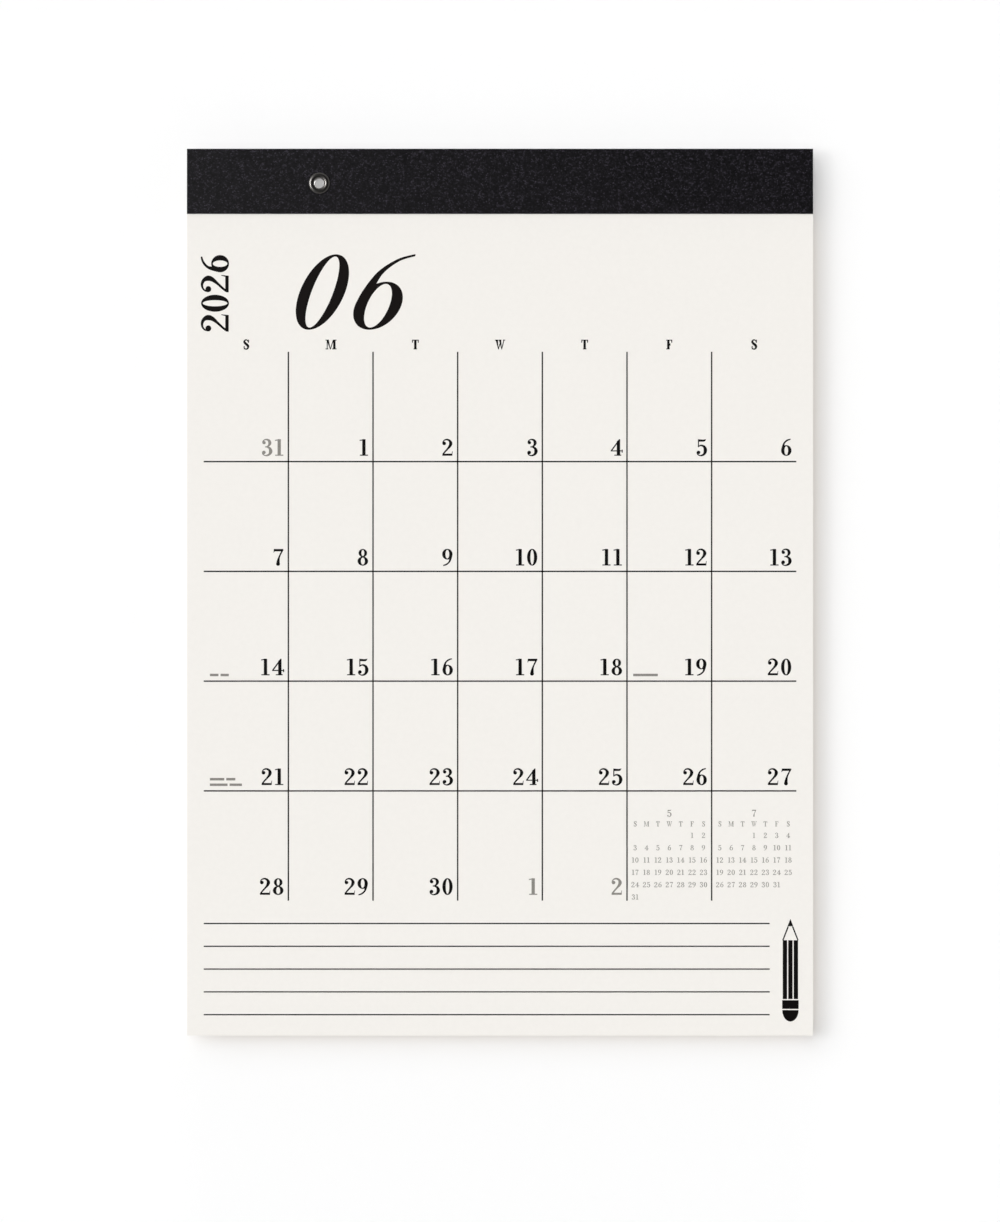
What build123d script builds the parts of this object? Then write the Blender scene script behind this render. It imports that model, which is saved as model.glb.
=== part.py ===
"""Top-bound wall calendar: a stapled pad of month sheets hung from one eyelet.

Frame: +Z is up as it hangs, -Y is the printed front, +X is to the reader's right. The origin lies on
the eyelet's axis, in the back face of the backing board.
"""

import os

from build123d import *

INCH = 25.4

# The pad: month sheets and board, cut to one outline
PAD_WIDTH = 12 * INCH
PAD_HEIGHT = 17 * INCH
SHEET_COUNT = 12
SHEET_THICKNESS = 0.12
BOARD_THICKNESS = 0.8

# The binding strip, folded over the top edge
STRIP_THICKNESS = 0.4
STRIP_DEPTH = 1.25 * INCH
STRIP_FOLD_RADIUS = 0.7

# The eyelet, set through the strip, the sheets and the board
EYELET_FROM_LEFT = 64.4
EYELET_FROM_TOP = 16.8
EYELET_BORE_RADIUS = 2.4
EYELET_METAL = 0.4
EYELET_FLANGE_RADIUS = 5.2
EYELET_FLANGE_RISE = 0.95
EYELET_ROLL_RADIUS = 4.7
EYELET_ROLL_RISE = 0.8
PUNCH_CLEARANCE = 0.1

# The wire staples under the strip
WIRE_RADIUS = 0.3
WIRE_CLEARANCE = 0.05
STAPLE_CROWN = 12.7
STAPLE_TIP_GAP = 3.0
STAPLE_BEND_RADIUS = 0.6
STAPLE_COUNT = 4
STAPLE_PITCH = 3.6 * INCH
STAPLE_FROM_TOP = 10.0

# Places worked out from the sizes above
strip_left = -EYELET_FROM_LEFT
strip_top = EYELET_FROM_TOP
strip_foot = strip_top - STRIP_DEPTH
pad_middle = strip_left + PAD_WIDTH / 2
pad_top = strip_top - STRIP_THICKNESS
pad_foot = strip_top - PAD_HEIGHT
board_front = -BOARD_THICKNESS
sheets_front = board_front - SHEET_COUNT * SHEET_THICKNESS
strip_front = sheets_front - STRIP_THICKNESS
strip_back = STRIP_THICKNESS
punch_radius = EYELET_BORE_RADIUS + EYELET_METAL + PUNCH_CLEARANCE
sheet_height = pad_top - pad_foot
staple_level = strip_top - STAPLE_FROM_TOP

os.makedirs("parts", exist_ok=True)


# One staple: the crown lies flush in the front sheet, the legs go through the pad and the tips are
# bent inwards, flush in the back of the board.
leg_reach = STAPLE_CROWN / 2 - WIRE_RADIUS
crown_level = sheets_front + WIRE_RADIUS
tip_level = -WIRE_RADIUS
staple_corners = (
    (-STAPLE_TIP_GAP / 2, tip_level),
    (-leg_reach, tip_level),
    (-leg_reach, crown_level),
    (leg_reach, crown_level),
    (leg_reach, tip_level),
    (STAPLE_TIP_GAP / 2, tip_level),
)

with BuildPart() as one_staple:
    with BuildLine(Plane.XY):
        FilletPolyline(*staple_corners, radius=STAPLE_BEND_RADIUS)
    with BuildSketch(Plane(origin=(*staple_corners[0], 0), z_dir=(-1, 0, 0))):
        Circle(WIRE_RADIUS)
    sweep()

# The channel that a staple presses into the sheets and the board
with BuildPart() as staple_channel:
    with BuildLine(Plane.XY):
        FilletPolyline(*staple_corners, radius=STAPLE_BEND_RADIUS)
    with BuildSketch(Plane(origin=(*staple_corners[0], 0), z_dir=(-1, 0, 0))):
        Circle(WIRE_RADIUS + WIRE_CLEARANCE)
    sweep()

staple_row_start = pad_middle - STAPLE_PITCH * (STAPLE_COUNT - 1) / 2
staple_places = [
    (staple_row_start + STAPLE_PITCH * index, 0, staple_level) for index in range(STAPLE_COUNT)
]


# Month sheets: twelve sheets trimmed together, punched for the eyelet
with BuildPart() as page_block:
    with BuildSketch(Plane.XZ.offset(-board_front)):
        with Locations((pad_middle, pad_foot)):
            Rectangle(PAD_WIDTH, sheet_height, align=(Align.CENTER, Align.MIN))
        Circle(punch_radius, mode=Mode.SUBTRACT)
    extrude(amount=SHEET_COUNT * SHEET_THICKNESS)
    with Locations(*staple_places):
        add(staple_channel.part, mode=Mode.SUBTRACT)
page_block.part.label = "page_block"
export_step(page_block.part, "parts/page_block.step")


# Backing board: chipboard of the same outline, behind the sheets
with BuildPart() as backing_board:
    with BuildSketch(Plane.XZ):
        with Locations((pad_middle, pad_foot)):
            Rectangle(PAD_WIDTH, sheet_height, align=(Align.CENTER, Align.MIN))
        Circle(punch_radius, mode=Mode.SUBTRACT)
    extrude(amount=BOARD_THICKNESS)
    with Locations(*staple_places):
        add(staple_channel.part, mode=Mode.SUBTRACT)
backing_board.part.label = "backing_board"
export_step(backing_board.part, "parts/backing_board.step")


# Header strip: one length of binding stock, folded down the front and the back of the pad
with BuildPart() as header_strip:
    with BuildSketch(Plane.YZ.offset(strip_left)):
        with Locations((strip_front, strip_foot)):
            folded = Rectangle(strip_back - strip_front, STRIP_DEPTH, align=(Align.MIN, Align.MIN))
        fillet(folded.vertices().group_by(Axis.Y)[-1], radius=STRIP_FOLD_RADIUS)
        with Locations((sheets_front, strip_foot)):
            Rectangle(-sheets_front, pad_top - strip_foot, align=(Align.MIN, Align.MIN), mode=Mode.SUBTRACT)
    extrude(amount=PAD_WIDTH)
    with BuildSketch(Plane.XZ):
        Circle(punch_radius)
    extrude(amount=PAD_WIDTH / 2, both=True, mode=Mode.SUBTRACT)
header_strip.part.label = "header_strip"
export_step(header_strip.part, "parts/header_strip.step")


# Eyelet: sheet metal drawn to a domed flange and a straight barrel, its end rolled over at the back.
# The section is drawn in the XY plane, with X as the radius, and turned about the bore's axis.
barrel_outer = EYELET_BORE_RADIUS + EYELET_METAL
flange_middle = (EYELET_BORE_RADIUS + EYELET_FLANGE_RADIUS) / 2
flange_half = (EYELET_FLANGE_RADIUS - EYELET_BORE_RADIUS) / 2
roll_middle = (EYELET_BORE_RADIUS + EYELET_ROLL_RADIUS) / 2
roll_half = (EYELET_ROLL_RADIUS - EYELET_BORE_RADIUS) / 2

with BuildPart() as eyelet:
    with BuildSketch(Plane.XY):
        with BuildLine():
            EllipticalCenterArc(
                (flange_middle, strip_front), flange_half, EYELET_FLANGE_RISE, start_angle=180, arc_size=180
            )
            Line((EYELET_FLANGE_RADIUS, strip_front), (EYELET_FLANGE_RADIUS - EYELET_METAL, strip_front))
            EllipticalCenterArc(
                (flange_middle, strip_front),
                flange_half - EYELET_METAL,
                EYELET_FLANGE_RISE - EYELET_METAL,
                start_angle=180,
                arc_size=180,
            )
            Line((barrel_outer, strip_front), (barrel_outer, strip_back))
            EllipticalCenterArc(
                (roll_middle, strip_back),
                roll_half - EYELET_METAL,
                EYELET_ROLL_RISE - EYELET_METAL,
                start_angle=0,
                arc_size=180,
            )
            Line((EYELET_ROLL_RADIUS - EYELET_METAL, strip_back), (EYELET_ROLL_RADIUS, strip_back))
            EllipticalCenterArc(
                (roll_middle, strip_back), roll_half, EYELET_ROLL_RISE, start_angle=0, arc_size=180
            )
            Line((EYELET_BORE_RADIUS, strip_back), (EYELET_BORE_RADIUS, strip_front))
        make_face()
    revolve(axis=Axis.Y)
eyelet.part.label = "eyelet"
export_step(eyelet.part, "parts/eyelet.step")


# Staples: identical wire staples along the head of the pad, hidden by the strip
with BuildPart() as staples:
    with Locations(*staple_places):
        add(one_staple.part)
staples.part.label = "staples"
export_step(staples.part, "parts/staples.step")
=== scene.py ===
"""Top-bound wall calendar: sheets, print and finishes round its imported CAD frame.

Everything is in metres. X runs to the reader's right, Y from the printed front to the wall, Z up.
Places on a sheet are measured from the pad's left edge and from its top edge.
"""

import calendar
import math
import random

import bmesh
import bpy
from bpy.props import BoolProperty, FloatProperty, FloatVectorProperty, IntProperty, PointerProperty
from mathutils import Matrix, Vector
from mathutils.geometry import delaunay_2d_cdt


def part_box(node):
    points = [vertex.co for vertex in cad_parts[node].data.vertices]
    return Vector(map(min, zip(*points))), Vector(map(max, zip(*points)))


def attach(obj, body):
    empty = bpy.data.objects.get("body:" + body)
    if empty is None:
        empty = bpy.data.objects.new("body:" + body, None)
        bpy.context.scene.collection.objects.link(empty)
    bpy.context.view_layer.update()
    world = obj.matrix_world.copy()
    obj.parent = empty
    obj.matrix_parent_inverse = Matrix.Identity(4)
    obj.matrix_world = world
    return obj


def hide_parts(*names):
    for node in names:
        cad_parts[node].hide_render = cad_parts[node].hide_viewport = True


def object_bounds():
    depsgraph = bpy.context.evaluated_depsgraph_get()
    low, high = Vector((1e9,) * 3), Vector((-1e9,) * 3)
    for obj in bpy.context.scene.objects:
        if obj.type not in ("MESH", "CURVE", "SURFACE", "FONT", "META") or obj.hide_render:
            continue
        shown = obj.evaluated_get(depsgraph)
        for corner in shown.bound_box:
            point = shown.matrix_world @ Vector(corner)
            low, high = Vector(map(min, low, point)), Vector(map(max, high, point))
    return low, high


bl_info = {
    "name": "Wall calendar",
    "version": (1, 0, 0),
    "blender": (4, 5, 0),
    "location": "View3D > Sidebar > Calendar",
    "description": "Sheets, printed month page and finishes of a top-bound wall calendar",
    "category": "Object",
}

MM = 0.001
BODY = "root"

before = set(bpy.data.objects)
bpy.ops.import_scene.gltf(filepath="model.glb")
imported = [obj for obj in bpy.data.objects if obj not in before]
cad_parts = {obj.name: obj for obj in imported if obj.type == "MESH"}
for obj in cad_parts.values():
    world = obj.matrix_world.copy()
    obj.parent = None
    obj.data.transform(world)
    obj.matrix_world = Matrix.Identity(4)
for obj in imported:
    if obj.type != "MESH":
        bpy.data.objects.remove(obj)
cad_low, cad_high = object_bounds()
sheets_low, sheets_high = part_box("page_block")
strip_low, strip_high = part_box("header_strip")

pad_left = strip_low.x
pad_right = strip_high.x
pad_top = strip_high.z
pad_foot = sheets_low.z
pad_width = pad_right - pad_left
pad_height = pad_top - pad_foot
paper_face = sheets_low.y


def linear(hex_colour):
    """The linear RGB of an sRGB hex colour such as "F5F2ED"."""
    channels = [int(hex_colour[i : i + 2], 16) / 255 for i in (0, 2, 4)]
    return [c / 12.92 if c <= 0.04045 else ((c + 0.055) / 1.055) ** 2.4 for c in channels]


# ---------------------------------------------------------------- settings


class CalendarPage(bpy.types.PropertyGroup):
    """The month page: what it says and how it is laid out."""

    year: IntProperty(name="Year", description="Year that the page shows", default=2026, min=1)
    month: IntProperty(name="Month", description="Month that the page shows", default=6, min=1, max=12)
    column_width: FloatProperty(
        name="Column width", description="Width of one weekday's column", default=41.22 * MM, unit="LENGTH"
    )
    row_height: FloatProperty(
        name="Row height", description="Height of one week's row", default=53.45 * MM, unit="LENGTH"
    )
    grid_drop: FloatProperty(
        name="Grid drop",
        description="From the pad's top edge to the first row",
        default=98.9 * MM,
        unit="LENGTH",
    )
    rule_weight: FloatProperty(
        name="Rule weight", description="Width of a line of the grid", default=0.68 * MM, unit="LENGTH"
    )
    note_weight: FloatProperty(
        name="Note weight", description="Width of a note line", default=0.62 * MM, unit="LENGTH"
    )
    numeral_height: FloatProperty(
        name="Date height", description="Height of a date numeral", default=8.05 * MM, unit="LENGTH"
    )
    title_height: FloatProperty(
        name="Title height", description="Height of the month's number", default=36.0 * MM, unit="LENGTH"
    )
    year_height: FloatProperty(
        name="Year height", description="Height of the year's numerals", default=13.3 * MM, unit="LENGTH"
    )
    heading_height: FloatProperty(
        name="Heading height", description="Height of a weekday's initial", default=4.7 * MM, unit="LENGTH"
    )
    small_height: FloatProperty(
        name="Small height",
        description="Height of a small calendar's numeral",
        default=2.5 * MM,
        unit="LENGTH",
    )
    note_pitch: FloatProperty(
        name="Note pitch", description="From one note line to the next", default=11.1 * MM, unit="LENGTH"
    )
    note_lines: IntProperty(name="Note lines", description="Lines under the grid", default=5, min=0)


class CalendarFinish(bpy.types.PropertyGroup):
    """Colours of the sheets, inks, board, strip and metal."""

    paper: FloatVectorProperty(
        name="Paper", description="Uncoated offset paper", subtype="COLOR", default=linear("F1EEE9")
    )
    ink: FloatVectorProperty(
        name="Ink", description="Black offset ink", subtype="COLOR", default=linear("070404")
    )
    title_ink: FloatVectorProperty(
        name="Title ink",
        description="Warm black of the month's number",
        subtype="COLOR",
        default=linear("0D0706"),
    )
    grey_ink: FloatVectorProperty(
        name="Grey ink",
        description="Screened black of the side months",
        subtype="COLOR",
        default=linear("88857F"),
    )
    strip: FloatVectorProperty(
        name="Strip",
        description="Black leather-grained binding paper",
        subtype="COLOR",
        default=linear("161419"),
    )
    board: FloatVectorProperty(
        name="Board", description="Grey-brown chipboard", subtype="COLOR", default=linear("A09280")
    )
    eyelet: FloatVectorProperty(
        name="Eyelet", description="Dark nickel plate", subtype="COLOR", default=linear("8A8784")
    )


class CalendarStage(bpy.types.PropertyGroup):
    """The wall, the floor, the lights and the camera."""

    wall_gap: FloatProperty(
        name="Wall gap",
        description="From the eyelet's rolled end to the wall",
        default=6.0 * MM,
        unit="LENGTH",
    )
    key_strength: FloatProperty(name="Key", description="Strength of the soft key light", default=1.95)
    fill_strength: FloatProperty(
        name="Fill", description="Strength of the shadowless fill light", default=0.97
    )
    camera_distance: FloatProperty(
        name="Camera distance", description="From the page to the camera", default=2.0, unit="LENGTH"
    )
    fill_frame: FloatProperty(
        name="Fill frame",
        description="Share of the picture's height that the pad fills",
        default=0.7257,
        subtype="FACTOR",
    )
    one_sided_wall: BoolProperty(
        name="One-sided wall", description="Let the pad's back be seen through the wall", default=True
    )


# ---------------------------------------------------------------- shapes drawn flat


def oriented(polygon):
    """The polygon with its corners anticlockwise."""
    following = polygon[1:] + polygon[:1]
    area = sum(a[0] * b[1] - b[0] * a[1] for a, b in zip(polygon, following))
    return polygon if area > 0 else polygon[::-1]


def block(left, foot, right, top):
    """A rectangle."""
    return [[(left, foot), (right, foot), (right, top), (left, top)]]


def disc(x, y, radius, steps):
    """A round dot."""
    turns = [2 * math.pi * i / (2 * steps) for i in range(2 * steps)]
    return [[(x + radius * math.cos(t), y + radius * math.sin(t)) for t in turns]]


def ring(x, y, reach, rise, side, cap, steps):
    """An oval ring, thick at its sides and thin at its top and foot."""
    count = 4 * steps
    turns = [2 * math.pi * i / count for i in range(count + 1)]
    outer = [(x + reach * math.cos(t), y + rise * math.sin(t)) for t in turns]
    inner = [(x + (reach - side) * math.cos(t), y + (rise - cap) * math.sin(t)) for t in turns]
    return [[outer[i], outer[i + 1], inner[i + 1], inner[i]] for i in range(count)]


def curve_through(nodes, steps):
    """Points (x, y, width) on a smooth curve through the nodes."""
    ends = [nodes[0], *nodes, nodes[-1]]
    points = []
    for before, start, end, after in zip(ends, ends[1:], ends[2:], ends[3:]):
        for i in range(steps):
            t = i / steps
            weights = (
                (-t + 2 * t**2 - t**3) / 2,
                (2 - 5 * t**2 + 3 * t**3) / 2,
                (t + 4 * t**2 - 3 * t**3) / 2,
                (t**3 - t**2) / 2,
            )
            nearby = zip(before, start, end, after)
            points.append(tuple(sum(w * v for w, v in zip(weights, values)) for values in nearby))
    return [*points, tuple(nodes[-1])]


def brush(nodes, steps):
    """A stroke that swells and thins along a curve through its nodes (x, y, width)."""
    middle = curve_through(nodes, steps)
    edges = []
    for i, (x, y, width) in enumerate(middle):
        before = middle[max(i - 1, 0)]
        after = middle[min(i + 1, len(middle) - 1)]
        along = Vector((after[0] - before[0], after[1] - before[1])).normalized()
        across = Vector((-along.y, along.x)) * width / 2
        edges.append(((x + across.x, y + across.y), (x - across.x, y - across.y)))
    return [[a[0], a[1], b[1], b[0]] for a, b in zip(edges, edges[1:])]


def outline(*points):
    """A polygon from its corners."""
    return [list(points)]


def zero(s, h, n):
    return ring(0.32, 0.5, 0.30, 0.51, s, h, 2 * n)


def one(s, h, n):
    stem = block(0.28 - s / 2, 0, 0.28 + s / 2, 1)
    flag = brush([(0.03, 0.93, h), (0.14, 0.945, h), (0.28, 0.985, h)], n)
    return stem + flag + block(0.04, 0, 0.52, h)


def two(s, h, n):
    hook = [(0.045, 0.75, h), (0.075, 0.87, h), (0.17, 0.955, 1.2 * h), (0.31, 0.975, 1.6 * h)]
    bowl = [(0.45, 0.90, 0.7 * s), (0.51, 0.75, s), (0.46, 0.59, 0.8 * s)]
    fall = [(0.33, 0.42, 0.35 * s + h / 2), (0.17, 0.24, 1.4 * h), (0.05, 0.085, 1.3 * h)]
    foot = outline(
        (0.01, 0), (0.60, 0), (0.625, 0.27), (0.60, 0.27), (0.565, 0.125), (0.1, 0.125), (0.01, 0.09)
    )
    return brush(hook + bowl + fall, n) + disc(0.125, 0.745, 0.56 * s, n) + foot


def three(s, h, n):
    upper = [(0.055, 0.80, h), (0.09, 0.90, h), (0.18, 0.965, 1.1 * h), (0.30, 0.98, 1.5 * h)]
    upper += [(0.43, 0.91, 0.75 * s), (0.475, 0.77, 0.92 * s), (0.42, 0.63, 0.6 * s), (0.30, 0.545, h)]
    lower = [(0.20, 0.53, h), (0.32, 0.53, 1.3 * h), (0.47, 0.44, 0.75 * s), (0.525, 0.28, 1.05 * s)]
    lower += [(0.47, 0.11, 0.75 * s), (0.32, 0.02, 1.5 * h)]
    lower += [(0.18, 0.02, h), (0.075, 0.09, h), (0.04, 0.20, h)]
    balls = disc(0.135, 0.795, 0.52 * s, n) + disc(0.125, 0.20, 0.56 * s, n)
    return brush([*upper, (0.20, 0.53, h)], n) + brush(lower, n) + balls


def four(s, h, n):
    stem = outline((0.36, 0), (0.36 + s, 0), (0.36 + s, 1.0), (0.36 + 0.8 * s, 1.0), (0.36, 0.87))
    slope = brush([(0.36 + 0.85 * s, 0.985, 1.2 * h), (0.025, 0.285, 1.2 * h)], 1)
    bar = block(0.0, 0.26, 0.66, 0.26 + h)
    return stem + slope + bar + block(0.645, 0.19, 0.645 + h, 0.37) + block(0.22, 0, 0.62, h)


def five(s, h, n):
    flag = outline(
        (0.09, 1.0), (0.10, 0.85), (0.45, 0.85), (0.53, 0.90), (0.57, 1.02), (0.54, 1.0), (0.40, 0.975)
    )
    rise = block(0.09, 0.52, 0.09 + h, 0.99)
    bowl = [(0.10, 0.53, h), (0.19, 0.60, 1.2 * h), (0.32, 0.62, 1.6 * h), (0.47, 0.53, 0.8 * s)]
    bowl += [(0.53, 0.33, 1.05 * s), (0.47, 0.12, 0.75 * s), (0.32, 0.02, 1.5 * h), (0.18, 0.02, h)]
    bowl += [(0.075, 0.09, h), (0.04, 0.20, h)]
    return flag + rise + brush(bowl, n) + disc(0.125, 0.20, 0.56 * s, n)


def six(s, h, n):
    bowl = ring(0.33, 0.315, 0.305, 0.325, s, h, 2 * n)
    tail = [(0.025 + s / 2, 0.33, s), (0.05 + s / 2, 0.52, 0.85 * s), (0.205, 0.76, 0.5 * s)]
    tail += [(0.38, 0.93, 1.4 * h), (0.58, 1.0, h)]
    return bowl + brush(tail, n)


def seven(s, h, n):
    bar = outline((0.045, 0.78), (0.07, 0.78), (0.11, 0.855), (0.56, 0.855), (0.625, 1.0), (0.07, 1.0))
    leg = [(0.60, 0.96, 1.3 * h), (0.49, 0.76, 1.3 * h), (0.375, 0.50, 0.5 * s), (0.325, 0.28, 0.85 * s)]
    return bar + brush([*leg, (0.31, 0.10, 1.05 * s)], n) + disc(0.31, 0.095, 0.60 * s, n)


def eight(s, h, n):
    return ring(0.32, 0.755, 0.25, 0.25, 0.85 * s, h, 2 * n) + ring(0.32, 0.265, 0.31, 0.275, s, h, 2 * n)


def nine(s, h, n):
    return [[(0.64 - x, 1 - y) for x, y in polygon] for polygon in six(s, h, n)]


def letter_s(s, h, n):
    spine = [(0.49, 0.74, h), (0.44, 0.90, 1.1 * h), (0.30, 0.98, 1.5 * h), (0.14, 0.90, 0.65 * s)]
    spine += [(0.11, 0.76, 0.9 * s), (0.22, 0.61, 1.05 * s), (0.38, 0.47, 1.1 * s), (0.485, 0.31, s)]
    spine += [(0.45, 0.12, 0.7 * s), (0.29, 0.02, 1.5 * h), (0.12, 0.10, 1.1 * h), (0.06, 0.28, h)]
    return brush(spine, n) + block(0.48, 0.68, 0.48 + h, 1.0) + block(0.05, 0.0, 0.05 + h, 0.34)


def letter_m(s, h, n):
    thin = block(0.12, 0, 0.12 + h, 1) + brush([(0.47, 0.0, h), (0.79, 0.99, h)], 1)
    thick = outline((0.09, 1), (0.09 + s, 1), (0.49, 0), (0.45, 0)) + block(0.76, 0, 0.76 + s, 1)
    feet = block(0.0, 0, 0.27, h) + block(0.66, 0, 0.86 + s, h)
    return thin + thick + feet + block(0.0, 1 - h, 0.14, 1) + block(0.76, 1 - h, 0.86 + s, 1)


def letter_t(s, h, n):
    stem = block(0.36 - s / 2, 0, 0.36 + s / 2, 1) + block(0.18, 0, 0.54, h) + block(0.02, 1 - h, 0.70, 1)
    left = outline((0.02, 1), (0.02, 0.68), (0.02 + h, 0.70), (0.14, 1))
    return stem + left + outline((0.70, 1), (0.70, 0.68), (0.70 - h, 0.70), (0.58, 1))


def letter_w(s, h, n):
    thick = outline((0.07, 1), (0.07 + s, 1), (0.37, 0), (0.33, 0))
    thick += outline((0.40, 1), (0.40 + s, 1), (0.70, 0), (0.66, 0))
    thin = brush([(0.35, 0.0, h), (0.52, 0.60, h)], 1) + brush([(0.68, 0.0, h), (0.93, 1.0, h)], 1)
    tops = block(0.0, 1 - h, 0.34, 1) + block(0.36, 1 - h, 0.66, 1)
    return thick + thin + tops + block(0.82, 1 - h, 1.04, 1)


def letter_f(s, h, n):
    stem = block(0.09, 0, 0.09 + s, 1) + block(0.0, 0, 0.36, h) + block(0.0, 1 - h, 0.60, 1)
    arms = outline((0.60, 1), (0.60, 0.68), (0.60 - h, 0.70), (0.48, 1)) + block(0.09, 0.49, 0.42, 0.49 + h)
    return stem + arms + block(0.42 - h, 0.38, 0.42, 0.62)


# Each figure's drawing, and the width it takes in its own heights
GLYPHS = {
    "0": (zero, 0.64),
    "1": (one, 0.54),
    "2": (two, 0.64),
    "3": (three, 0.62),
    "4": (four, 0.68),
    "5": (five, 0.62),
    "6": (six, 0.64),
    "7": (seven, 0.64),
    "8": (eight, 0.64),
    "9": (nine, 0.64),
    "S": (letter_s, 0.55),
    "M": (letter_m, 1.03),
    "T": (letter_t, 0.72),
    "W": (letter_w, 1.04),
    "F": (letter_f, 0.62),
}
SIDE_BEARING = 0.065
# The face is a broad one: every figure is set this much wider than it is drawn
BREADTH = 1.03
WEEKDAY_INITIALS = "SMTWTFS"


def joined(polygons):
    """One flat mesh, as (points, faces), that covers all the polygons once."""
    points = []
    faces = []
    for polygon in polygons:
        corners = oriented([tuple(p) for p in polygon])
        faces.append(list(range(len(points), len(points) + len(corners))))
        points += [Vector(p) for p in corners]
    points, _, faces, _, _, sources = delaunay_2d_cdt(points, [], faces, 1, 1e-6, True)
    flat = bmesh.new()
    corners = [flat.verts.new((p.x, p.y, 0)) for p in points]
    for face, source in zip(faces, sources):
        if source:
            flat.faces.new([corners[i] for i in face])
    bmesh.ops.delete(flat, geom=[v for v in flat.verts if not v.link_faces], context="VERTS")
    bmesh.ops.dissolve_limit(flat, angle_limit=math.radians(0.4), verts=flat.verts, edges=flat.edges)
    flat.verts.index_update()
    result = ([v.co.xy.copy() for v in flat.verts], [[v.index for v in f.verts] for f in flat.faces])
    flat.free()
    return result


def text_width(text, tracking=0.0):
    """The width of a line of figures, from its first edge to its last, in its own heights."""
    widths = [GLYPHS[c][1] for c in text]
    return sum(widths) * BREADTH + (2 * SIDE_BEARING + tracking) * (len(text) - 1)


class Print:
    """Ink laid on the front sheet: flat shapes gathered into one closed, thin mesh."""

    # Real ink is a few thousandths of a millimetre thick. It is given enough here to stay clear
    # of the paper in any viewer, and it reaches a little into the paper.
    PROUD = 0.03 * MM
    SUNK = 0.01 * MM

    def __init__(self, name, slot, material):
        self.name = name
        self.slot = slot
        self.material = material
        self.mesh = bmesh.new()
        self.drawn = {}

    def lay(self, shape, place):
        """Lay one flat shape; place turns its points into (across, down) on the pad."""
        points, faces = shape
        spots = [place(p) for p in points]
        front = [self.mesh.verts.new((pad_left + x, paper_face - self.PROUD, pad_top - d)) for x, d in spots]
        back = [self.mesh.verts.new((pad_left + x, paper_face + self.SUNK, pad_top - d)) for x, d in spots]
        border = set()
        for face in faces:
            self.mesh.faces.new([front[i] for i in face])
            self.mesh.faces.new([back[i] for i in reversed(face)])
            for edge in zip(face, face[1:] + face[:1]):
                if edge[::-1] in border:
                    border.remove(edge[::-1])
                else:
                    border.add(edge)
        for a, b in sorted(border):
            self.mesh.faces.new([front[b], front[a], back[a], back[b]])

    def shapes(self, polygons):
        """Lay polygons whose points are (across, down) on the pad already."""
        self.lay(joined(polygons), lambda p: (p.x, p.y))

    def text(self, text, across, base, height, stem, hair, steps, tracking=0.0, slant=0.0, upwards=False):
        """Set figures from their left foot; upwards turns the line to read from foot to top."""
        pen = 0.0
        for figure in text:
            draw, width = GLYPHS[figure]
            key = (figure, stem, hair, steps)
            if key not in self.drawn:
                self.drawn[key] = joined(draw(stem, hair, steps))

            def place(p, start=pen):
                along = (start + p.x * BREADTH + slant * p.y) * height
                if upwards:
                    return across - p.y * height, base - along
                return across + along, base - p.y * height

            self.lay(self.drawn[key], place)
            pen += width * BREADTH + 2 * SIDE_BEARING + tracking

    def centred(self, text, middle, base, height, stem, hair, steps):
        """Set figures centred on a place."""
        self.text(text, middle - text_width(text) * height / 2, base, height, stem, hair, steps)

    def finish(self):
        """Make the piece, fixed to the calendar."""
        bmesh.ops.recalc_face_normals(self.mesh, faces=self.mesh.faces)
        return piece(self.name, self.mesh, self.slot, self.material)


def piece(name, mesh, slot, material):
    """A piece of the calendar from a bmesh, riding on its one body."""
    data = bpy.data.meshes.new(name)
    mesh.to_mesh(data)
    mesh.free()
    data.materials.append(material)
    made = bpy.data.objects.new(name, data)
    bpy.context.scene.collection.objects.link(made)
    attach(made, BODY)
    return made


# ---------------------------------------------------------------- materials


def per_mm(size):
    """The texture scale at which one cell of a pattern is size millimetres across."""
    return 1 / (size * MM)


def add_node(tree, kind, settings=None, values=None, links=None):
    """Add a shader node with its settings, its sockets' values and its links from other sockets."""
    node = tree.nodes.new("ShaderNode" + kind)
    for name, value in (settings or {}).items():
        setattr(node, name, value)
    for socket, value in (values or {}).items():
        node.inputs[socket].default_value = value
    for socket, source in (links or {}).items():
        tree.links.new(source, node.inputs[socket])
    return node


def new_material(name):
    """An empty node material; returns it, its tree, its shader and its object coordinates."""
    material = bpy.data.materials.new(name)
    material.use_nodes = True
    tree = material.node_tree
    coords = add_node(tree, "TexCoord")
    return material, tree, tree.nodes["Principled BSDF"], coords.outputs["Object"]


def shade(colour, factor):
    """A colour made lighter or darker, as RGBA."""
    return [min(1.0, c * factor) for c in colour] + [1.0]


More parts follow.
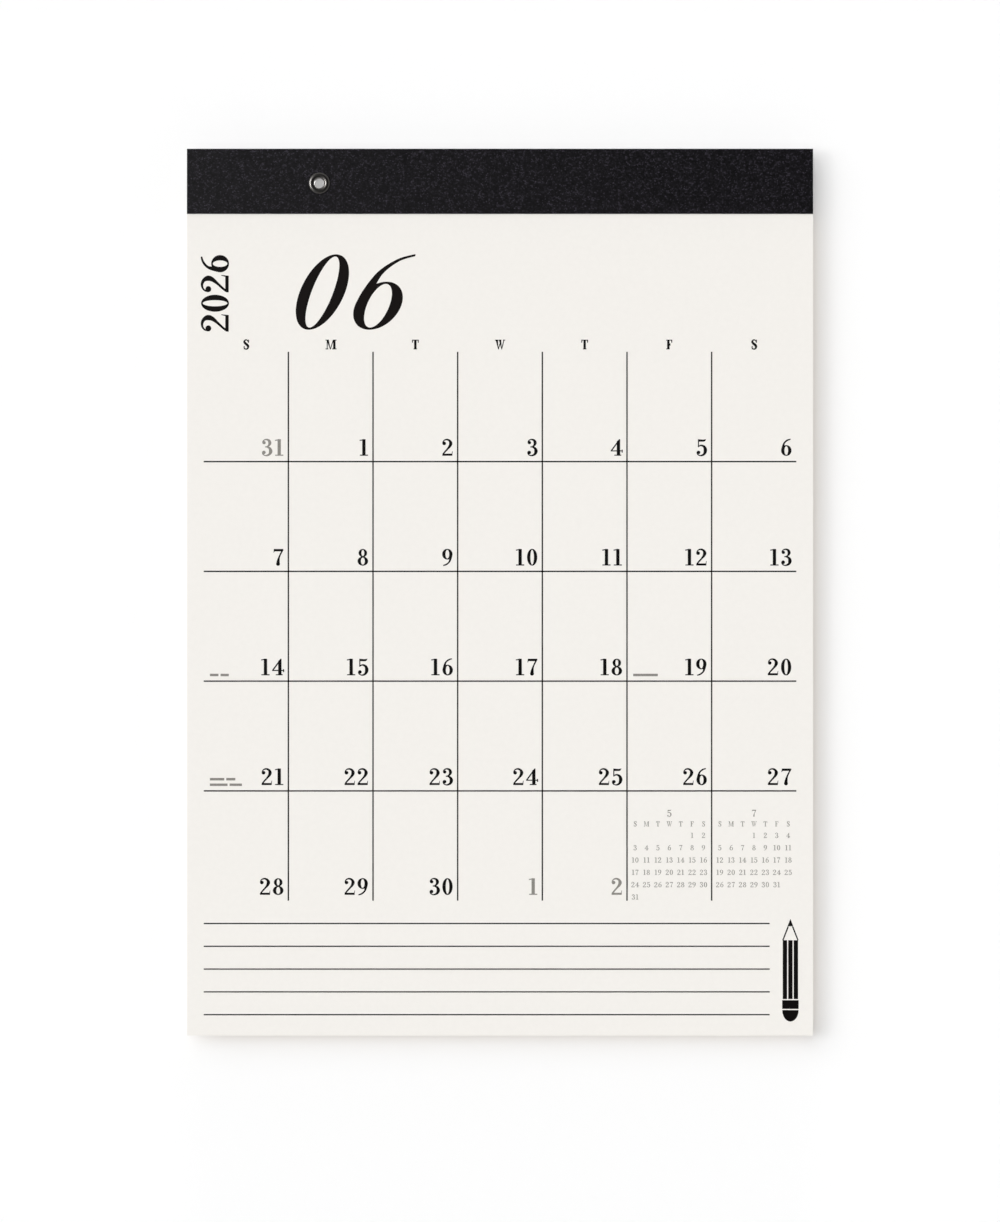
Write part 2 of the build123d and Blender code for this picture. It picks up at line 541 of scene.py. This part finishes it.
def offset_paper(colour):
    """Uncoated offset paper, from a wood-free web: matt, softly cloudy, with a faint fibre tooth."""
    material, tree, shader, place = new_material("Uncoated offset paper")
    # Formation: the fibres clump in clouds about 2.5 mm across, which shows as a very faint mottle
    clouds = add_node(tree, "TexNoise", values={"Scale": per_mm(2.5), "Detail": 3.0}, links={"Vector": place})
    tone = add_node(tree, "ValToRGB", links={"Fac": clouds.outputs["Fac"]})
    tone.color_ramp.elements[0].position = 0.35
    tone.color_ramp.elements[0].color = shade(colour, 0.992)
    tone.color_ramp.elements[1].position = 0.65
    tone.color_ramp.elements[1].color = shade(colour, 1.004)
    tree.links.new(tone.outputs["Color"], shader.inputs["Base Color"])
    # Tooth: fibres are 0.02 to 0.04 mm wide; they are drawn at 0.3 mm, the finest that shows
    tooth = add_node(tree, "TexNoise", values={"Scale": per_mm(0.3), "Detail": 2.0}, links={"Vector": place})
    bump = add_node(
        tree, "Bump", values={"Strength": 0.08, "Distance": 0.02 * MM}, links={"Height": tooth.outputs["Fac"]}
    )
    tree.links.new(bump.outputs["Normal"], shader.inputs["Normal"])
    shader.inputs["Roughness"].default_value = 0.88
    shader.inputs["Specular IOR Level"].default_value = 0.25
    return material


def offset_ink(name, colour):
    """Offset ink on uncoated paper: it sinks in and dries matt, a little uneven with the fibres."""
    material, tree, shader, place = new_material(name)
    # Ink lies thinner where the paper's tooth stands up, seen as a slight mottle at 0.4 mm
    tooth = add_node(tree, "TexNoise", values={"Scale": per_mm(0.4), "Detail": 2.0}, links={"Vector": place})
    tone = add_node(tree, "ValToRGB", links={"Fac": tooth.outputs["Fac"]})
    tone.color_ramp.elements[0].position = 0.3
    tone.color_ramp.elements[0].color = shade(colour, 0.85)
    tone.color_ramp.elements[1].position = 0.75
    tone.color_ramp.elements[1].color = shade(colour, 1.25)
    tree.links.new(tone.outputs["Color"], shader.inputs["Base Color"])
    shader.inputs["Roughness"].default_value = 0.7
    shader.inputs["Specular IOR Level"].default_value = 0.2
    return material


def grained_binding_paper(colour):
    """Latex-filled binding paper, embossed with a fine leather grain: matt pebbles, with painted shade in the
    creases between them.
    """
    material, tree, shader, place = new_material("Leather-grained binding paper")
    # The emboss has pebbles of about 0.65 mm, of uneven shape, so their place is first disturbed
    wander = add_node(tree, "TexNoise", values={"Scale": per_mm(1.1), "Detail": 2.0}, links={"Vector": place})
    shifted = add_node(
        tree,
        "VectorMath",
        {"operation": "MULTIPLY_ADD"},
        {1: (0.7 * MM, 0.7 * MM, 0.7 * MM)},
        {0: wander.outputs["Color"], 2: place},
    )
    moved = shifted.outputs["Vector"]
    pebbles = add_node(tree, "TexVoronoi", values={"Scale": per_mm(0.65)}, links={"Vector": moved})
    edges = add_node(
        tree,
        "TexVoronoi",
        {"feature": "DISTANCE_TO_EDGE"},
        {"Scale": per_mm(0.65)},
        {"Vector": moved},
    )
    # The dye takes unevenly: most pebbles are near the same black, and a few are pale specks
    lot = add_node(tree, "SeparateColor", links={"Color": pebbles.outputs["Color"]})
    tone = add_node(tree, "ValToRGB", links={"Fac": lot.outputs["Red"]})
    tone.color_ramp.elements[0].position = 0.10
    tone.color_ramp.elements[0].color = shade(colour, 0.35)
    tone.color_ramp.elements[1].position = 0.97
    tone.color_ramp.elements[1].color = shade(colour, 4.8)
    middle = tone.color_ramp.elements.new(0.70)
    middle.color = shade(colour, 1.2)
    dome = add_node(
        tree,
        "MapRange",
        {"interpolation_type": "SMOOTHSTEP"},
        {"From Min": 0.0, "From Max": 0.33},
        {"Value": edges.outputs["Distance"]},
    )
    # Painted shade: the creases between the pebbles are darkened in the colour, as if they kept out the light
    painted_crease_shade = add_node(tree, "MapRange", values={"To Min": 0.35}, links={"Value": dome.outputs["Result"]})
    # The pebbles' tone times the painted crease shade
    mixed = add_node(
        tree,
        "VectorMath",
        {"operation": "MULTIPLY"},
        links={0: tone.outputs["Color"], 1: painted_crease_shade.outputs["Result"]},
    )
    tree.links.new(mixed.outputs["Vector"], shader.inputs["Base Color"])
    bump = add_node(
        tree,
        "Bump",
        values={"Strength": 0.6, "Distance": 0.07 * MM},
        links={"Height": dome.outputs["Result"]},
    )
    tree.links.new(bump.outputs["Normal"], shader.inputs["Normal"])
    shader.inputs["Roughness"].default_value = 0.5
    shader.inputs["Specular IOR Level"].default_value = 0.25
    return material


def grey_chipboard(colour):
    """Chipboard pressed from waste paper: matt grey-brown with pale and dark fibre flecks."""
    material, tree, shader, place = new_material("Grey chipboard")
    clouds = add_node(tree, "TexNoise", values={"Scale": per_mm(6.0), "Detail": 4.0}, links={"Vector": place})
    base = add_node(tree, "ValToRGB", links={"Fac": clouds.outputs["Fac"]})
    base.color_ramp.elements[0].position = 0.3
    base.color_ramp.elements[0].color = shade(colour, 0.94)
    base.color_ramp.elements[1].position = 0.7
    base.color_ramp.elements[1].color = shade(colour, 1.04)
    # Fibre bundles are 1 to 3 mm long and 0.3 mm wide, and lie mostly along the board's height. They
    # are drawn 0.8 mm wide, the finest that shows
    along = add_node(tree, "Mapping", values={"Scale": (1.0, 1.0, 0.25)}, links={"Vector": place})
    fibres = add_node(
        tree,
        "TexNoise",
        values={"Scale": per_mm(0.8), "Detail": 2.0},
        links={"Vector": along.outputs["Vector"]},
    )
    fleck = add_node(tree, "ValToRGB", links={"Fac": fibres.outputs["Fac"]})
    fleck.color_ramp.elements[0].position = 0.25
    fleck.color_ramp.elements[0].color = (0.45, 0.42, 0.38, 1)
    fleck.color_ramp.elements[1].position = 0.80
    fleck.color_ramp.elements[1].color = (1, 1, 1, 1)
    middle = fleck.color_ramp.elements.new(0.42)
    middle.color = (0.86, 0.85, 0.83, 1)
    mixed = add_node(
        tree,
        "Mix",
        {"data_type": "RGBA", "blend_type": "MULTIPLY"},
        {"Factor": 0.8},
        {6: base.outputs["Color"], 7: fleck.outputs["Color"]},
    )
    tree.links.new(mixed.outputs[2], shader.inputs["Base Color"])
    bump = add_node(
        tree, "Bump", values={"Strength": 0.3, "Distance": 0.05 * MM}, links={"Height": fibres.outputs["Fac"]}
    )
    tree.links.new(bump.outputs["Normal"], shader.inputs["Normal"])
    shader.inputs["Roughness"].default_value = 0.93
    shader.inputs["Specular IOR Level"].default_value = 0.15
    return material


def plated_metal(name, colour, roughness):
    """Sheet metal, drawn and plated in a barrel: bright, with fine scuffs that blur its gloss."""
    material, tree, shader, place = new_material(name)
    # Scuffs from the plating barrel, about 0.25 mm apart
    scuffs = add_node(
        tree, "TexNoise", values={"Scale": per_mm(0.25), "Detail": 3.0}, links={"Vector": place}
    )
    gloss = add_node(
        tree,
        "MapRange",
        values={"To Min": 0.8 * roughness, "To Max": 1.3 * roughness},
        links={"Value": scuffs.outputs["Fac"]},
    )
    tree.links.new(gloss.outputs["Result"], shader.inputs["Roughness"])
    tone = add_node(tree, "ValToRGB", links={"Fac": scuffs.outputs["Fac"]})
    tone.color_ramp.elements[0].color = shade(colour, 0.85)
    tone.color_ramp.elements[1].color = shade(colour, 1.1)
    tree.links.new(tone.outputs["Color"], shader.inputs["Base Color"])
    shader.inputs["Metallic"].default_value = 1.0
    return material


def studio_paint(name, colour, one_sided):
    """Dead matt white emulsion; one-sided paint is clear from behind."""
    material, tree, shader, _ = new_material(name)
    shader.inputs["Base Color"].default_value = shade(colour, 1.0)
    shader.inputs["Roughness"].default_value = 1.0
    shader.inputs["Specular IOR Level"].default_value = 0.0
    if one_sided:
        side = add_node(tree, "NewGeometry")
        clear = add_node(tree, "BsdfTransparent")
        mixed = add_node(
            tree,
            "MixShader",
            links={0: side.outputs["Backfacing"], 1: shader.outputs["BSDF"], 2: clear.outputs["BSDF"]},
        )
        tree.links.new(mixed.outputs["Shader"], tree.nodes["Material Output"].inputs["Surface"])
    return material


def dress(node, material):
    """Give a CAD node its finish."""
    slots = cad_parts[node].data.materials
    slots.clear()
    slots.append(material)


# ---------------------------------------------------------------- the month page


def page_dates(page):
    """The page's weeks as dates; the weeks start on Sunday."""
    return calendar.Calendar(firstweekday=6).monthdatescalendar(page.year, page.month)


def grid_left(page):
    """From the pad's left edge to the grid, which stands in the middle."""
    return (pad_width - len(WEEKDAY_INITIALS) * page.column_width) / 2


def neighbour(page, step):
    """The year and month a step before or after the page's."""
    count = page.year * 12 + page.month - 1 + step
    return count // 12, count % 12 + 1


# Weight of the printed figures: stem and hairline, in figure heights
DATE_WEIGHT = (0.195, 0.065)
TITLE_WEIGHT = (0.155, 0.03)
YEAR_WEIGHT = (0.19, 0.06)
SMALL_WEIGHT = (0.16, 0.065)
HEADING_WEIGHT = (0.24, 0.09)
TITLE_SLANT = math.tan(math.radians(20))


class CALENDAR_OT_sheets(bpy.types.Operator):
    """Stack the month sheets, trimmed nearly but not quite true"""

    bl_idname = "calendar.sheets"
    bl_label = "Month sheets"

    SHEETS = 12
    AIR = 0.012 * MM
    TRIM_ERROR = 0.18 * MM
    HOLE_RADIUS = 2.9 * MM
    HOLE_STEPS = 24

    def execute(self, context):
        finish = context.scene.calendar_finish
        dice = random.Random(12)
        pitch = (sheets_high.y - sheets_low.y) / self.SHEETS
        stack = bmesh.new()
        for index in range(self.SHEETS):
            # The front sheet keeps the full outline; those behind fall short of it by a hair
            slack = 0.0 if index == 0 else self.TRIM_ERROR
            left = sheets_low.x + dice.uniform(0, slack)
            right = sheets_high.x - dice.uniform(0, slack)
            foot = sheets_low.z + dice.uniform(0, slack)
            front = sheets_low.y + pitch * index
            self.add_sheet(stack, left, right, foot, front, front + pitch - self.AIR)
        made = piece("month_sheets", stack, "sheet_paper", offset_paper(finish.paper))
        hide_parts("page_block")
        return {"FINISHED"}

    def add_sheet(self, stack, left, right, foot, front, back):
        """One sheet with its eyelet hole, as a closed slab."""
        top = sheets_high.z
        corners = [(right, top), (left, top), (left, foot), (right, foot)]
        turns = [2 * math.pi * i / self.HOLE_STEPS for i in range(self.HOLE_STEPS)]
        hole = [(self.HOLE_RADIUS * math.cos(t), self.HOLE_RADIUS * math.sin(t)) for t in turns]
        layers = []
        for level in (front, back):
            outer = [stack.verts.new((x, level, z)) for x, z in corners]
            inner = [stack.verts.new((x, level, z)) for x, z in hole]
            layers.append((outer, inner))
        quarter = self.HOLE_STEPS // 4
        for outer, inner in layers:
            for side in range(4):
                # Each side of the sheet joins the quarter of the hole that faces it
                start = side * quarter + quarter // 2
                arc = [inner[(start + i) % self.HOLE_STEPS] for i in range(quarter + 1)]
                stack.faces.new([outer[(side + 1) % 4], outer[side], *arc])
        for near, far in ((layers[0][0], layers[1][0]), (layers[0][1], layers[1][1])):
            for i in range(len(near)):
                j = (i + 1) % len(near)
                stack.faces.new([near[i], near[j], far[j], far[i]])
        bmesh.ops.recalc_face_normals(stack, faces=stack.faces)


class CALENDAR_OT_rules(bpy.types.Operator):
    """Print the grid of the month and the note lines under it"""

    bl_idname = "calendar.rules"
    bl_label = "Printed lines"

    NOTE_END = 21.1 * MM

    def execute(self, context):
        page = context.scene.calendar_page
        finish = context.scene.calendar_finish
        black = offset_ink("Black offset ink", finish.ink)
        left = grid_left(page)
        right = pad_width - left
        half = page.rule_weight / 2
        weeks = len(page_dates(page))
        foot = page.grid_drop + weeks * page.row_height
        grid = Print("date_grid", "print_ink", black)
        lines = []
        for column in range(1, len(WEEKDAY_INITIALS)):
            middle = left + column * page.column_width
            lines += block(middle - half, page.grid_drop, middle + half, foot)
        for row in range(1, weeks):
            middle = page.grid_drop + row * page.row_height
            lines += block(left, middle - half, right, middle + half)
        grid.shapes(lines)
        grid.finish()
        notes = Print("note_lines", "print_ink", black)
        for index in range(page.note_lines):
            top = foot + (index + 1) * page.note_pitch - page.note_weight / 2
            notes.shapes(block(left, top, pad_width - self.NOTE_END, top + page.note_weight))
        notes.finish()
        return {"FINISHED"}


class CALENDAR_OT_dates(bpy.types.Operator):
    """Print the dates, the weekday initials, the year and the month's number"""

    bl_idname = "calendar.dates"
    bl_label = "Printed figures"

    DATE_IN = 2.3 * MM
    DATE_UP = 2.85 * MM
    HEADING_UP = 1.2 * MM
    TITLE_IN = 47.5 * MM
    TITLE_BASE = 87.8 * MM
    YEAR_BASE = 20.3 * MM
    YEAR_START = 89.2 * MM
    SMALL_CALENDAR_CELLS = 2

    def execute(self, context):
        page = context.scene.calendar_page
        finish = context.scene.calendar_finish
        black = bpy.data.materials["Black offset ink"]
        grey = offset_ink("Screened grey offset ink", finish.grey_ink)
        warm = offset_ink("Warm black offset ink", finish.title_ink)
        self.print_dates(page, black, grey)
        self.print_headings(page, black)
        title = Print("month_number", "print_ink", warm)
        month = f"{page.month:02d}"
        title.text(
            month,
            self.TITLE_IN,
            self.TITLE_BASE,
            page.title_height,
            *TITLE_WEIGHT,
            steps=16,
            tracking=0.02,
            slant=TITLE_SLANT,
        )
        title.finish()
        year = Print("year_number", "print_ink", black)
        year.text(
            str(page.year),
            self.YEAR_BASE,
            self.YEAR_START,
            page.year_height,
            *YEAR_WEIGHT,
            steps=10,
            tracking=-0.07,
            upwards=True,
        )
        year.finish()
        return {"FINISHED"}

    def print_dates(self, page, black, grey):
        """The month's dates in black and its neighbours' in grey, at each cell's lower right."""
        own = Print("date_numbers", "print_ink", black)
        others = Print("side_month_dates", "grey_ink", grey)
        weeks = page_dates(page)
        cells = [(row, column, date) for row, week in enumerate(weeks) for column, date in enumerate(week)]
        for row, column, date in cells[: -self.SMALL_CALENDAR_CELLS]:
            figures = str(date.day)
            end = grid_left(page) + (column + 1) * page.column_width - self.DATE_IN
            start = end - text_width(figures) * page.numeral_height
            base = page.grid_drop + (row + 1) * page.row_height - self.DATE_UP
            ink = own if date.month == page.month else others
            ink.text(figures, start, base, page.numeral_height, *DATE_WEIGHT, 6)
        own.finish()
        others.finish()

    def print_headings(self, page, black):
        """One initial over each column."""
        heads = Print("weekday_initials", "print_ink", black)
        for column, initial in enumerate(WEEKDAY_INITIALS):
            middle = grid_left(page) + (column + 0.5) * page.column_width
            base = page.grid_drop - self.HEADING_UP
            heads.centred(initial, middle, base, page.heading_height, *HEADING_WEIGHT, 6)
        heads.finish()


class CALENDAR_OT_small_months(bpy.types.Operator):
    """Print the months before and after, small, in the last two cells"""

    bl_idname = "calendar.small_months"
    bl_label = "Small months"

    COLUMN = 5.55 * MM
    ROW = 6.0 * MM
    TITLE_DROP = 12.6 * MM
    HEADING_DROP = 17.3 * MM
    FIRST_DROP = 22.9 * MM
    TITLE_HEIGHT = 3.4 * MM

    def execute(self, context):
        page = context.scene.calendar_page
        grey = bpy.data.materials["Screened grey offset ink"]
        ink = Print("small_months", "grey_ink", grey)
        last_row = page.grid_drop + (len(page_dates(page)) - 1) * page.row_height
        for column, step in ((5, -1), (6, 1)):
            year, month = neighbour(page, step)
            middle = grid_left(page) + (column + 0.5) * page.column_width
            ink.centred(str(month), middle, last_row + self.TITLE_DROP, self.TITLE_HEIGHT, *SMALL_WEIGHT, 4)
            weeks = calendar.Calendar(firstweekday=6).monthdayscalendar(year, month)
            rows = [(self.HEADING_DROP, WEEKDAY_INITIALS)]
            rows += [(self.FIRST_DROP + i * self.ROW, week) for i, week in enumerate(weeks)]
            for drop, row in rows:
                for place, figure in enumerate(row):
                    if figure:
                        spot = middle + (place - 3) * self.COLUMN
                        ink.centred(str(figure), spot, last_row + drop, page.small_height, *SMALL_WEIGHT, 3)
        ink.finish()
        return {"FINISHED"}


class CALENDAR_OT_marks(bpy.types.Operator):
    """Print plain bars for the day labels and a pencil beside the note lines"""

    bl_idname = "calendar.marks"
    bl_label = "Bars and pencil"

    BAR_IN = 3.0 * MM
    BAR_UP = 2.4 * MM
    BAR_HEIGHT = 1.2 * MM
    BAR_LEADING = 2.7 * MM
    WORD_GAP = 1.0 * MM
    # Day of the month and the word lengths of each line of its label, in millimetres
    LABELS = ((14, ((4.2, 4.0),)), (19, ((12.0,),)), (21, ((7.0, 4.4), (8.6, 6.0))))
    PENCIL_MIDDLE = 293.8 * MM
    PENCIL_FOOT = 425.0 * MM
    PENCIL_LENGTH = 50.0 * MM
    PENCIL_HALF = 4.0 * MM
    PENCIL_LINE = 0.55 * MM

    def execute(self, context):
        page = context.scene.calendar_page
        self.print_labels(page)
        self.print_pencil()
        return {"FINISHED"}

    def print_labels(self, page):
        """Bars as long as words, at the lower left of some cells."""
        bars = Print("day_label_bars", "grey_ink", bpy.data.materials["Screened grey offset ink"])
        for row, week in enumerate(page_dates(page)):
            for column, date in enumerate(week):
                lines = dict(self.LABELS).get(date.day, ()) if date.month == page.month else ()
                foot = page.grid_drop + (row + 1) * page.row_height - self.BAR_UP
                for index, words in enumerate(reversed(lines)):
                    base = foot - index * self.BAR_LEADING
                    start = grid_left(page) + column * page.column_width + self.BAR_IN
                    for word in words:
                        bars.shapes(block(start, base - self.BAR_HEIGHT, start + word * MM, base))
                        start += word * MM + self.WORD_GAP
        bars.finish()

    def print_pencil(self):
        """An upright pencil in outline shapes: lead, cone, barrel, ferrule and rubber."""
        middle = self.PENCIL_MIDDLE
        half = self.PENCIL_HALF
        foot = self.PENCIL_FOOT
        gap = self.PENCIL_LINE
        tip = foot - self.PENCIL_LENGTH
        shoulder = tip + 2.6 * half
        ferrule = foot - 2.6 * half
        rubber = foot - 1.4 * half
        third = 2 * half / 3
        ink = Print("pencil_mark", "print_ink", bpy.data.materials["Black offset ink"])
        lead = tip + 0.9 * half
        lead_half = half * (lead - tip) / (shoulder - tip)
        ink.shapes(outline((middle - lead_half, lead), (middle, tip), (middle + lead_half, lead)))
        for face in range(3):
            start = middle - half + face * third
            inset = gap / 2
            ink.shapes(block(start + inset, shoulder, start + third - inset, ferrule - gap))
        slope = (half - lead_half) / (shoulder - lead)
        for side in (-1, 1):
            outer = [(middle + side * lead_half, lead), (middle + side * half, shoulder)]
            ink.shapes(
                outline(
                    outer[0],
                    outer[1],
                    (outer[1][0] - side * gap * 1.2, outer[1][1]),
                    (outer[0][0] - side * gap * 1.2, outer[0][1] + gap * slope),
                )
            )
        ink.shapes(block(middle - half, ferrule, middle + half, rubber - gap))
        arc = [math.pi * i / 12 for i in range(13)]
        round_end = [(middle + half * math.cos(t), rubber + 1.4 * half * math.sin(t)) for t in arc]
        ink.shapes([round_end])
        ink.finish()


# ---------------------------------------------------------------- board, strip, metal


class CALENDAR_OT_binding(bpy.types.Operator):
    """Finish the folded strip and the board"""

    bl_idname = "calendar.binding"
    bl_label = "Strip and board"

    def execute(self, context):
        finish = context.scene.calendar_finish
        dress("header_strip", grained_binding_paper(finish.strip))
        dress("backing_board", grey_chipboard(finish.board))
        return {"FINISHED"}


class CALENDAR_OT_metal(bpy.types.Operator):
    """Finish the eyelet and the staples"""

    bl_idname = "calendar.metal"
    bl_label = "Eyelet and staples"

    def execute(self, context):
        finish = context.scene.calendar_finish
        dress("eyelet", plated_metal("Dark nickel plate", finish.eyelet, 0.3))
        dress("staples", plated_metal("Galvanised staple wire", linear("B9B9B7"), 0.35))
        return {"FINISHED"}


# ---------------------------------------------------------------- stage


class CALENDAR_OT_stage(bpy.types.Operator):
    """Set the wall, the floor, the lights and the camera"""

    bl_idname = "calendar.stage"
    bl_label = "Stage"

    WALL_SIZE = (1.4, 1.5)
    FLOOR_SIZE = 12.0
    FLOOR_DROP = 0.35
    # Where each sun stands, and the angle in degrees that its disc is spread over
    KEY_SUN = {"towards": (-0.62, -1.0, 0.36), "spread": 78}
    SIDE_SUN = {"towards": (-1.1, -1.0, 0.15), "spread": 25}
    FILL_SUN = {"towards": (0.0, -1.0, 0.0), "spread": 20}
    TOP_SUN = {"towards": (0.0, 0.0, 1.0), "spread": 12}
    REAR_SUN = {"towards": (0.5, 1.0, 0.5), "spread": 60}
    SIDE_STRENGTH = 0.38
    TOP_STRENGTH = 2.3
    REAR_STRENGTH = 3.0
    WINDOW_SIZE = (0.3, 0.7)
    WINDOW_PLACE = (-0.85, -0.9, 0.28)
    WINDOW_POWER = 7.0
    # The sky is dark within the first angle of the camera's side, and pale beyond the second
    DARK_SIDE = (50, 70)
    SKY_FILL = 0.50
    SKY_WHITE = 0.92
    VIEW_CENTRE_DROP = 225.1 * MM
    SENSOR = 36.0

    def execute(self, context):
        settings = context.scene.calendar_stage
        centre = Vector((pad_left + pad_width / 2, 0, pad_top - pad_height / 2))
        white = linear("FCFCFC")
        wall = self.panel("wall", *self.WALL_SIZE)
        wall.rotation_euler = (math.radians(90), 0, 0)
        wall.location = (centre.x, cad_high.y + settings.wall_gap, centre.z)
        wall.data.materials.append(studio_paint("White wall paint", white, settings.one_sided_wall))
        floor = self.panel("floor", self.FLOOR_SIZE, self.FLOOR_SIZE)
        floor.location = (centre.x, 0, pad_foot - self.FLOOR_DROP)
        floor.data.materials.append(studio_paint("White floor paint", linear("F2F1EF"), False))
        for surface in (wall, floor):
            # They are there to be seen, and keep out of the light on the calendar's back
            surface.visible_shadow = False
            surface.visible_diffuse = False
            surface.visible_glossy = False
        self.sun("key", settings.key_strength, **self.KEY_SUN, seen_in_gloss=False)
        self.sun("side", self.SIDE_STRENGTH, **self.SIDE_SUN, seen_in_gloss=False)
        self.sun("fill", settings.fill_strength, **self.FILL_SUN, seen_in_gloss=False, shadow=False)
        self.sun("top", self.TOP_STRENGTH, **self.TOP_SUN, seen_in_gloss=False)
        self.sun("rear", self.REAR_STRENGTH, **self.REAR_SUN)
        self.window("window", centre)
        self.sky(context.scene)
        self.camera(context.scene, settings, centre.x)
        return {"FINISHED"}

    def panel(self, name, width, depth):
        """A flat rectangle that faces up."""
        mesh = bmesh.new()
        corners = [(-1, -1), (1, -1), (1, 1), (-1, 1)]
        mesh.faces.new([mesh.verts.new((x * width / 2, y * depth / 2, 0)) for x, y in corners])
        data = bpy.data.meshes.new(name)
        mesh.to_mesh(data)
        mesh.free()
        made = bpy.data.objects.new(name, data)
        bpy.context.scene.collection.objects.link(made)
        return made

    def sun(self, name, strength, towards, spread, seen_in_gloss=True, shadow=True):
        """A far light that comes from a direction, spread over an angle in degrees."""
        data = bpy.data.lights.new(name, "SUN")
        data.energy = strength
        data.angle = math.radians(spread)
        data.use_shadow = shadow
        self.add_light(name, data, towards).visible_glossy = seen_in_gloss

    def window(self, name, centre):
        """A pane at the left that only shines in gloss: on the metal's curves and across the strip."""
        data = bpy.data.lights.new(name, "AREA")
        data.shape = "RECTANGLE"
        data.size, data.size_y = self.WINDOW_SIZE
        data.energy = self.WINDOW_POWER
        towards = Vector(self.WINDOW_PLACE)
        made = self.add_light(name, data, towards)
        made.location = centre + towards
        made.visible_diffuse = False
        made.visible_camera = False

    def add_light(self, name, data, towards):
        """Put a light in the scene, shining from a direction."""
        made = bpy.data.objects.new(name, data)
        made.rotation_euler = Vector(towards).to_track_quat("Z", "Y").to_euler()
        bpy.context.scene.collection.objects.link(made)
        return made

    def sky(self, scene):
        """Pale surroundings with a dark side behind the camera; they are seen as studio white."""
        world = bpy.data.worlds.new("Studio")
        scene.world = world
        world.use_nodes = True
        tree = world.node_tree
        towards = add_node(tree, "TexCoord")
        facing = add_node(
            tree,
            "VectorMath",
            {"operation": "DOT_PRODUCT"},
            {1: (0.0, -1.0, 0.0)},
            {0: towards.outputs["Generated"]},
        )
        dark_to, pale_from = [math.cos(math.radians(angle)) for angle in self.DARK_SIDE]
        level = add_node(
            tree,
            "MapRange",
            values={"From Min": dark_to, "From Max": pale_from, "To Min": 0.0, "To Max": self.SKY_FILL},
            links={"Value": facing.outputs["Value"]},
        )
        fill = tree.nodes["Background"]
        fill.inputs["Color"].default_value = (1, 1, 1, 1)
        tree.links.new(level.outputs["Result"], fill.inputs["Strength"])
        seen = add_node(tree, "Background", values={"Strength": self.SKY_WHITE, "Color": (1, 1, 1, 1)})
        ray = add_node(tree, "LightPath")
        mixed = add_node(
            tree,
            "MixShader",
            links={
                0: ray.outputs["Is Camera Ray"],
                1: fill.outputs["Background"],
                2: seen.outputs["Background"],
            },
        )
        tree.links.new(mixed.outputs["Shader"], tree.nodes["World Output"].inputs["Surface"])
        scene.view_settings.view_transform = "Standard"

    def camera(self, scene, settings, middle):
        """A long lens, square on to the page."""
        data = bpy.data.cameras.new("camera")
        data.sensor_width = self.SENSOR
        picture_height = pad_height / settings.fill_frame
        data.lens = self.SENSOR * settings.camera_distance / picture_height
        data.clip_end = 100.0
        made = bpy.data.objects.new("camera", data)
        made.location = (middle, paper_face - settings.camera_distance, pad_top - self.VIEW_CENTRE_DROP)
        made.rotation_euler = (math.radians(90), 0, 0)
        scene.collection.objects.link(made)
        scene.camera = made


# ---------------------------------------------------------------- add-on


OPERATORS = (
    CALENDAR_OT_stage,
    CALENDAR_OT_sheets,
    CALENDAR_OT_rules,
    CALENDAR_OT_dates,
    CALENDAR_OT_small_months,
    CALENDAR_OT_marks,
    CALENDAR_OT_binding,
    CALENDAR_OT_metal,
)
SETTINGS = {
    "calendar_page": CalendarPage,
    "calendar_finish": CalendarFinish,
    "calendar_stage": CalendarStage,
}


class CALENDAR_PT_panel(bpy.types.Panel):
    """The calendar's settings and the steps that make it"""

    bl_label = "Wall calendar"
    bl_idname = "CALENDAR_PT_panel"
    bl_space_type = "VIEW_3D"
    bl_region_type = "UI"
    bl_category = "Calendar"

    def draw(self, context):
        for name, group in SETTINGS.items():
            settings = getattr(context.scene, name)
            box = self.layout.box()
            for field in group.__annotations__:
                box.prop(settings, field)
        for operator in OPERATORS:
            self.layout.operator(operator.bl_idname)


CLASSES = (*SETTINGS.values(), *OPERATORS, CALENDAR_PT_panel)


def register():
    for kind in CLASSES:
        bpy.utils.register_class(kind)
    for name, group in SETTINGS.items():
        setattr(bpy.types.Scene, name, PointerProperty(type=group))


def unregister():
    for name in SETTINGS:
        delattr(bpy.types.Scene, name)
    for kind in reversed(CLASSES):
        bpy.utils.unregister_class(kind)


def main():
    """Make the whole calendar."""
    register()
    for operator in OPERATORS:
        group, name = operator.bl_idname.split(".")
        getattr(getattr(bpy.ops, group), name)()


if __name__ == "__main__":
    main()
